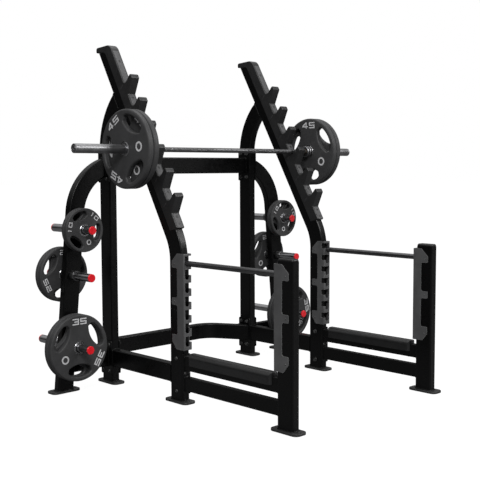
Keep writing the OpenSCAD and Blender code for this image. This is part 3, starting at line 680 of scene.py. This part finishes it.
def rail_outline():
    """Side of a hook rail as (y, s) in the leaning frame."""
    cap_back, cap_front_h, cap_back_h = 0.067, 0.039, 0.030
    back = level_s(CAP_Z, cap_back)
    points = [(RAIL_FRONT, 0.076, 0.007), (CHEEK_BACK, 0.092, 0.009),
              (CHEEK_BACK, level_s(CAP_Z, CHEEK_BACK), 0.035), (cap_back, back, 0.007),
              (cap_back - cap_back_h * math.sin(LEAN), back + cap_back_h * math.cos(LEAN), 0.012),
              (RAIL_FRONT, level_s(CAP_Z + cap_front_h, RAIL_FRONT), 0.05)]
    tip = RAIL_FRONT - PRONG
    for s in reversed(HOOKS):
        points += [(RAIL_FRONT, s, 0.018), (tip, s + PRONG * math.tan(NOTCH_ANGLE), 0.010),
                   (tip, s - 0.004, 0.012), (RAIL_FRONT, s - 0.063, 0.010)]
    return rounded(points, 8)


def strip_spans():
    """(low, high) of each wear strip: one below, between and above the hooks."""
    lows = [STRIPS_FROM] + [s + STRIP_ABOVE for s in HOOKS]
    highs = [s - STRIP_BELOW for s in HOOKS] + [STRIPS_TO]
    return list(zip(lows, highs))


def strip_screws():
    return list(END_SCREWS) + [s - SCREW_BELOW for s in HOOKS]


FRONT = basis(X, Z, -Y, (0, 0, 0))      # local Z out of the rail's front, local Y along the rail


def front_place(y, s):
    """Matrix of a spot on the rail's front, local Z pointing out of it."""
    return Matrix.Translation((0, y, s)) @ FRONT


def strip_meshes():
    """(pockets for the rail, the strips with their screw holes)."""
    pockets, strips = [], []
    for low, high in strip_spans():
        length = high - low
        place = front_place(RAIL_FRONT + STRIP_T - STRIP_PROUD, (low + high) / 2)
        outline = box_outline(STRIP_W + 2 * STRIP_GAP, length + 2 * STRIP_GAP, STRIP_R + STRIP_GAP)
        pockets.append((prism("pocket", outline, 0.02), place, 0))
        strip = pillow("strip", box_outline(STRIP_W, length, STRIP_R), STRIP_T, 0.0009, 0.0003, 3)
        strips.append((strip, place, 0))
    hole = [(0, -0.01), (HOLE_R, -0.01), (HOLE_R + 0.0008, 0.0036), (HOLE_R + 0.0008, 0.02), (0, 0.02)]
    holes = [(lathe("hole", hole, 32, False), front_place(RAIL_FRONT, s), 0) for s in strip_screws()]
    strip_mesh = cut(join_meshes("strips", strips), join_meshes("holes", holes))
    return join_meshes("pockets", pockets), smooth(strip_mesh, 30)


def rail_mesh(pockets):
    """Rail with the space for the tube, the strips' pockets and the screw wells cut out."""
    slab = pillow("rail", rail_outline(), RAIL_W, 0.0055, steps=4)
    slab.transform(basis(Y, Z, X, (-RAIL_W / 2, 0, 0)))
    gap = 0.0001
    tube = prism("tube", box_outline(TUBE_W + gap, TUBE_D + gap, TUBE_R), 1.5)
    top = [Vector((-0.3, level_s(CAP_Z, -0.3))), Vector((0.3, level_s(CAP_Z, 0.3))), Vector((0.3, -0.1)),
           Vector((-0.3, -0.1))]
    below_cap = prism("below_cap", top, 0.2)
    below_cap.transform(basis(Y, Z, X, (-0.1, 0, 0)))
    cavity = cut(tube, below_cap, "INTERSECT")
    well = [(0, -0.005), (WELL_R, -0.005), (WELL_R, 0.02), (0, 0.02)]
    wells = [(lathe("well", well, 32, False), front_place(RAIL_FRONT, s), 0) for s in strip_screws()]
    rail = cut(cut(slab, cavity), pockets)
    return smooth(cut(rail, join_meshes("wells", wells)), 30)


def ledge_parts():
    """The thin raised lines beside the hooks."""
    ledges = []
    for s in HOOKS:
        for cheek in (-1, 1):
            start = Vector((cheek * RAIL_W / 2, RAIL_FRONT + LEDGE_BACK,
                            s + LEDGE_UP - LEDGE_BACK * math.tan(NOTCH_ANGLE)))
            ledge = pillow("ledge", box_outline(LEDGE_W, LEDGE_L, 0.0010), 0.0009, 0.0006, 0.0001, 3)
            across = Vector((0, math.cos(NOTCH_ANGLE), -math.sin(NOTCH_ANGLE)))
            up = Vector((0, math.sin(NOTCH_ANGLE), math.cos(NOTCH_ANGLE)))
            out = X * cheek
            middle = start + across * LEDGE_L / 2 - out * 0.0002
            ledges.append((ledge, basis(up * cheek, across, out, middle), 0))
    return ledges


def add_rails():
    pockets, strip_mesh = strip_meshes()
    rail = rail_mesh(pockets)
    ledges = ledge_parts()
    all_strips = []
    for side, sign in SIDES.items():
        obj = piece(f"{side}_hook_rail_moulding", rail.copy(), "rack", "hook_moulding", [f"{side}_hook_rail"])
        obj.data.transform(leaning(sign))
        obj.modifiers.new("normals", "WEIGHTED_NORMAL").keep_sharp = True
        ridges = join_meshes(f"{side}_hook_ledges", ledges)
        ridges.transform(leaning(sign))
        # the ledges carry the lighter finish that paints the highlight beside each hook
        piece(f"{side}_hook_ledges", smooth(ridges, 40), "rack", "hook_moulding", materials=["ledge"])
        all_strips.append((strip_mesh, leaning(sign), 0))
    obj = piece("wear_strip_set", smooth(join_meshes("wear_strip_set", all_strips), 30), "rack", "wear_strip",
                ["wear_strips"])
    obj.modifiers.new("normals", "WEIGHTED_NORMAL").keep_sharp = True


# ---------------------------------------------------------------- moulded covers and caps

COVER_SHOULDER, COVER_END_R = 0.031, 0.028
COVER_DIMPLE_Y = -0.419     # from the main upright
COVER_SLOT = 0.0191         # half the width of the slot that takes the tube


def add_covers():
    for side, sign in SIDES.items():
        node = f"{side}_bumper_cover"
        low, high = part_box(node)
        w, l, h = high - low
        centre_x = (low.x + high.x) / 2
        section = rounded([(-w / 2, 0, 0), (w / 2, 0, 0), (w / 2, h, COVER_SHOULDER),
                           (-w / 2, h, COVER_SHOULDER)], 10)
        body = prism("cover", section, l)
        body.transform(basis(X, Z, -Y, (centre_x, high.y, low.z)))
        ends = pillow("ends", box_outline(w + 0.001, l, COVER_END_R, 10), h + 0.0005, 0.012, 0.0006, 6)
        ends.transform(Matrix.Translation((centre_x, (low.y + high.y) / 2, low.z - 0.0004)))
        body = cut(body, ends, "INTERSECT")
        tube_low, tube_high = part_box("bumper_tubes")
        slot_top = tube_high.z + 0.0002
        deep = slot_top - low.z
        slot = prism("slot", [Vector((-COVER_SLOT, -0.02)), Vector((COVER_SLOT, -0.02)),
                              Vector((COVER_SLOT, deep)), Vector((-COVER_SLOT, deep))], l + 0.02)
        slot.transform(basis(X, Z, -Y, (centre_x, high.y + 0.01, low.z)))
        body = cut(body, slot)
        middle = Vector((centre_x, MAIN_Y + COVER_DIMPLE_Y, high.z + 0.0012))
        dimple = lathe("dimple", [(0, -0.003)] + [(x, z) for x, z in arc(0, 0.004, 0.007, -80, -10, 5)]
                       + [(0.0085, 0.006), (0, 0.006)], 32, False)
        dimple.transform(Matrix.Translation(middle))
        body = cut(body, dimple)
        smooth(body, 35)
        obj = piece(node + "_moulding", body, "rack", "moulded_cover", [node])
        obj.modifiers.new("normals", "WEIGHTED_NORMAL").keep_sharp = True


PLUG_W, PLUG_D, PLUG_L = 0.0446, 0.0956, 0.02       # the part of a cap inside its tube


def add_column_caps():
    low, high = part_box("column_caps")
    column_low, column_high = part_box("right_front_column")
    centre = (column_low + column_high) / 2
    base = column_high.z
    parts = []
    for sign in SIDES.values():
        cap = pillow("cap", box_outline(TUBE_W, TUBE_D, 0.0125, 8), high.z - base, 0.011, 0.0008, 8)
        parts.append((cap, Matrix.Translation((sign * centre.x, centre.y, base + 0.0001)), 0))
        plug = pillow("plug", box_outline(PLUG_W, PLUG_D, 0.006), PLUG_L, 0.001, 0.002, 3)
        parts.append((plug, Matrix.Translation((sign * centre.x, centre.y, base - PLUG_L - 0.0002)), 0))
    mesh = smooth(join_meshes("column_cap_set", parts), 35)
    piece("column_cap_set", mesh, "rack", "black_plastic", ["column_caps"])


# ---------------------------------------------------------------- barbell and safety bars

def add_barbell():
    shaft_low, shaft_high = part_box("bar_shaft")
    centre = (shaft_low + shaft_high) / 2
    r = (shaft_high.z - shaft_low.z) / 2
    half = shaft_high.x
    low_r, half_w = r - 0.0005, RING_HALF_W + 0.0002
    body = [(r, 0.0), (r, RING_MARK_X - half_w), (low_r, RING_MARK_X - half_w + 0.0008),
            (low_r, RING_MARK_X + half_w - 0.0008), (r, RING_MARK_X + half_w)]
    ring_low, ring_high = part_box("right_retaining_ring")
    neck = 0.0125
    body += [(r, ring_low.x - 0.0001), (neck, ring_low.x - 0.0001), (neck, ring_high.x + 0.0001),
             (r, ring_high.x + 0.0001), (r, half - 0.0015), (r - 0.0015, half), (0, half)]
    mirrored = [(radius, -z) for radius, z in reversed(body[1:])]
    mesh = lathe("shaft", mirrored + body[1:], 64, False)
    mesh.transform(basis(-Z, Y, X, (0, 0, 0)))
    piece("bar_shaft_turned", smooth(mesh, 30), "barbell", "shaft_steel", ["bar_shaft"], location=centre)
    for side, sign in SIDES.items():
        low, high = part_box(f"{side}_sleeve")
        near, far = sorted((abs(low.x), abs(high.x)))
        collar_r = (high.z - low.z) / 2
        sleeve_r, shoulder, bore = 0.025, near + 0.036, 0.01702
        groove_r, line_r = collar_r - 0.0025, sleeve_r - 0.0006
        outer = [(bore, near + 0.001), (bore + 0.001, near), (collar_r - 0.006, near),
                 (collar_r - 0.005, near + 0.0012), (groove_r, near + 0.0012), (collar_r, near + 0.0035),
                 (collar_r, near + 0.013), (groove_r, near + 0.0155), (groove_r, near + 0.0205),
                 (collar_r, near + 0.023), (collar_r, shoulder - 0.003), (collar_r - 0.003, shoulder),
                 (sleeve_r + 0.0012, shoulder), (sleeve_r, shoulder + 0.0012),
                 (sleeve_r, far - 0.012), (line_r, far - 0.0114), (line_r, far - 0.0096),
                 (sleeve_r, far - 0.009), (sleeve_r, far - 0.0012), (sleeve_r - 0.0012, far), (bore, far)]
        mesh = lathe(f"{side}_sleeve_turned", outer, 96)
        mesh.transform(basis(-Z * sign, Y, X * sign, (0, 0, 0)))
        piece(f"{side}_sleeve_turned", smooth(mesh, 30), f"{side}_sleeve_body", "sleeve_chrome",
              [f"{side}_sleeve"], location=(0, centre.y, centre.z))
        low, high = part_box(f"{side}_sleeve_end_cap")
        near, far = sorted((abs(low.x), abs(high.x)))
        plug_r = bore - 0.00006
        cap = [(0, near), (plug_r - 0.001, near), (plug_r, near + 0.001), (plug_r, far - 0.006),
               (sleeve_r - 0.001, far - 0.006), (sleeve_r, far - 0.005), (sleeve_r, far - 0.002),
               (sleeve_r - 0.002, far), (0.0185, far), (0.0175, far - 0.0012), (0.0165, far - 0.0012),
               (0.0155, far), (0.008, far), (0.006, far - 0.0015), (0, far - 0.0015)]
        mesh = lathe(f"{side}_end_cap", cap, 96, False)
        mesh.transform(basis(-Z * sign, Y, X * sign, (0, 0, 0)))
        piece(f"{side}_sleeve_end_cap_turned", smooth(mesh, 30), f"{side}_sleeve_body", "sleeve_chrome",
              [f"{side}_sleeve_end_cap"], location=(0, centre.y, centre.z))


def add_safety_bars():
    for side in SIDES:
        low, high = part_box(f"{side}_safety_bar")
        centre, r, half = (low + high) / 2, (high.z - low.z) / 2, (high.y - low.y) / 2
        end = [(r, half - 0.003), (r - 0.003, half), (r - 0.006, half), (r - 0.007, half - 0.001),
               (0, half - 0.001)]
        mesh = lathe(f"{side}_safety", [(radius, -z) for radius, z in reversed(end)] + end, 64, False)
        mesh.transform(basis(X, -Z, Y, (0, 0, 0)))
        piece(f"{side}_safety_bar_turned", smooth(mesh, 30), f"{side}_safety", "safety_bar_steel",
              [f"{side}_safety_bar"], location=centre)


# ---------------------------------------------------------------- weld beads

BEAD_R = 0.0034

def seam_path(node, direction, sign, spacing=0.003):
    """Evenly spaced points around the end face of a CAD tube: its outermost points along direction, on
    one side of the rack."""
    direction = direction.normalized()
    points = [v.co for v in frame["nodes"][node].data.vertices if v.co.x * sign > 0]
    reach = max(p.dot(direction) for p in points)
    points = [p for p in points if p.dot(direction) > reach - 0.0002]
    u = direction.orthogonal().normalized()
    v = direction.cross(u)
    flat = [Vector((p.dot(u), p.dot(v))) for p in points]
    hull = [flat[i] for i in convex_hull_2d(flat)]
    path = []
    for a, b in zip(hull, hull[1:] + hull[:1]):
        count = max(1, round((b - a).length / spacing))
        path += [a.lerp(b, k / count) for k in range(count)]
    return [u * p.x + v * p.y + direction * reach for p in path], direction


def bead(name, path, direction, radius):
    """Rippled weld bead along a closed path, lying in the corner between a tube and the face it meets."""
    n, ring = len(path), 8
    centre = sum(path, Vector()) / n
    verts, faces = [], []
    for i, p in enumerate(path):
        tangent = (path[(i + 1) % n] - path[i - 1]).normalized()
        out = tangent.cross(direction).normalized()
        if out.dot(p - centre) < 0:
            out = -out
        r = radius * (1 + 0.12 * math.sin(i * 2 * math.pi / 3.0) + 0.05 * math.sin(i * 0.37))
        for k in range(ring):
            a = 2 * math.pi * k / ring
            verts.append(p + out * (r * math.cos(a)) + direction * (r * math.sin(a) - 0.3 * radius))
    for i in range(n):
        for k in range(ring):
            a, b = i * ring, ((i + 1) % n) * ring
            faces.append((a + k, a + (k + 1) % ring, b + (k + 1) % ring, b + k))
    return mesh_from(name, verts, faces)


def add_welds():
    down, back = -Z, Y
    lean_front = -Vector((0, math.cos(LEAN), -math.sin(LEAN)))
    for side, sign in SIDES.items():
        seams = [(f"{side}_main_upright", down), (f"{side}_rear_post", down), (f"{side}_front_column", down),
                 (f"{side}_arch_leg", down), (f"{side}_rear_post", lean_front),
                 (f"{side}_arch_leg", -X * sign), ("side_rails", back), ("side_rails", -back),
                 ("bumper_tubes", back), ("bumper_tubes", -back), ("lower_brace_tubes", back),
                 ("lower_brace_tubes", -back), ("upper_crossbar", X * sign),
                 ("lower_crossmember", X * sign), ("outrigger_tubes", -X * sign)]
        parts = []
        for node, direction in seams:
            path, direction = seam_path(node, direction, sign)
            parts.append((bead("bead", path, direction, BEAD_R), Matrix.Identity(4), 0))
        mesh = smooth(join_meshes(f"{side}_welds", parts), 60)
        piece(f"{side}_weld_beads", mesh, "rack", "black_frame")


# ---------------------------------------------------------------- carried-over CAD nodes

FINISHES = {"foot_plates": "floor_plate", "horn_collars": "collar"}
EDGES = {       # node name part: bevel width in mm
    "foot_plates": 1.6, "flange_plates": 0.8, "bracket": 0.5, "frame_bolts": 0.35, "screws": 0.3,
    "collars": 0.8, "bushings": 0.4, "retaining_ring": 0.2,
}


def finish_cad_nodes():
    slots = {part["node"]: part["material_slot"] for part in frame["record"]["subparts"]}
    for node, obj in frame["nodes"].items():
        if obj.hide_render:
            continue
        paint(obj, FINISHES.get(node, slots[node]))
        width = next((w for key, w in EDGES.items() if key in node), 0)
        if width:
            weld = obj.modifiers.new("weld", "WELD")
            weld.merge_threshold = 1e-5
            bevel = obj.modifiers.new("edges", "BEVEL")
            bevel.width, bevel.segments, bevel.limit_method = width * MM, 2, "ANGLE"
            bevel.angle_limit = math.radians(38)
            bevel.harden_normals = True


# ---------------------------------------------------------------- stage, light and camera

def area_light(name, place, target, size, power, colour=(1, 1, 1)):
    data = bpy.data.lights.new(name, "AREA")
    data.shape, data.size, data.size_y = "RECTANGLE", size[0], size[1]
    data.energy, data.color = power, colour
    obj = bpy.data.objects.new(name, data)
    bpy.context.scene.collection.objects.link(obj)
    obj.location = place
    obj.rotation_euler = (Vector(target) - Vector(place)).to_track_quat("-Z", "Y").to_euler()
    return obj


FLOOR_BASE = (0.1, 0.1, 0.102)
FLOOR_GLOW = 0.06       # what the floor gives as light
FLOOR_SEEN = 0.93       # how bright the camera sees it
SKY_GLOW = (0.03, 0.7)  # at the horizon and overhead; the camera sees plain white


def seen_by_camera(tree):
    return tree.nodes.new("ShaderNodeLightPath").outputs["Is Camera Ray"]


def add_stage():
    mesh = mesh_from("floor", [(-60, -60, 0), (60, -60, 0), (60, 60, 0), (-60, 60, 0)], [(0, 1, 2, 3)])
    floor = new_object("floor", mesh)
    floor.location.z = -0.0005      # just under the feet
    material, tree, shader, coords = node_material("studio_floor", FLOOR_BASE, 0.6)
    tree.links.new(ramp(tree, noise(tree, coords, 1.5, 3), 0.3, 0.7, tint(FLOOR_BASE, 0.9), FLOOR_BASE),
                   shader.inputs["Base Color"])
    shader.inputs["Emission Color"].default_value = (1, 1, 1, 1)
    tree.links.new(remap(tree, seen_by_camera(tree), 0, 1, FLOOR_GLOW, FLOOR_SEEN),
                   shader.inputs["Emission Strength"])
    floor.data.materials.append(material)
    world = bpy.data.worlds.new("studio")
    world.use_nodes = True
    tree = world.node_tree
    background = tree.nodes["Background"]
    background.inputs["Color"].default_value = (1, 1, 1, 1)
    direction = tree.nodes.new("ShaderNodeSeparateXYZ")
    tree.links.new(tree.nodes.new("ShaderNodeTexCoord").outputs["Generated"], direction.inputs[0])
    gradient = tree.nodes.new("ShaderNodeMapRange")
    gradient.interpolation_type = "SMOOTHSTEP"
    for key, number in (("From Min", 0.12), ("From Max", 0.7), ("To Min", SKY_GLOW[0]),
                        ("To Max", SKY_GLOW[1])):
        gradient.inputs[key].default_value = number
    tree.links.new(direction.outputs["Z"], gradient.inputs["Value"])
    strength = tree.nodes.new("ShaderNodeMix")
    tree.links.new(seen_by_camera(tree), strength.inputs["Factor"])
    tree.links.new(gradient.outputs["Result"], strength.inputs["A"])
    strength.inputs["B"].default_value = 1.0
    tree.links.new(strength.outputs["Result"], background.inputs["Strength"])
    bpy.context.scene.world = world


def add_lights():
    target = (0, 0, 1.0)
    area_light("key", (-4.0, -4.5, 5.0), target, (2.0, 2.0), 330)
    area_light("front_high", (3.5, -5.0, 4.5), target, (2.0, 2.0), 200)
    area_light("overhead", (0, 0.5, 5.0), target, (4.0, 3.0), 70)
    area_light("front_panel", (1.8, -5.0, 1.6), (0, 0, 1.2), (2.6, 2.6), 9)
    area_light("crossbar_strip", (3.9, -3.9, 1.4), (0, 0.6, 1.3), (0.4, 1.8), 3)


CAMERA_LENS = 67.02
CAMERA_PLACE = (-3.6815, -3.7046, 1.2735)
CAMERA_TURNS = (-43.97, 4.58, -0.2291831)   # to the right, down and around its own axis, in degrees


def add_camera():
    data = bpy.data.cameras.new("camera")
    data.lens, data.sensor_width = CAMERA_LENS, 36
    camera = bpy.data.objects.new("camera", data)
    bpy.context.scene.collection.objects.link(camera)
    camera.location = CAMERA_PLACE
    turn, pitch, roll = (math.radians(angle) for angle in CAMERA_TURNS)
    camera.rotation_euler = (Matrix.Rotation(turn, 3, "Z") @ Matrix.Rotation(math.pi / 2 - pitch, 3, "X")
                             @ Matrix.Rotation(roll, 3, "Z")).to_euler()
    bpy.context.scene.camera = camera


def main():
    add_weights()
    add_rails()
    add_covers()
    add_column_caps()
    add_barbell()
    add_safety_bars()
    add_welds()
    finish_cad_nodes()
    add_stage()
    add_lights()
    add_camera()
    bpy.context.scene.view_settings.view_transform = "Standard"


main()
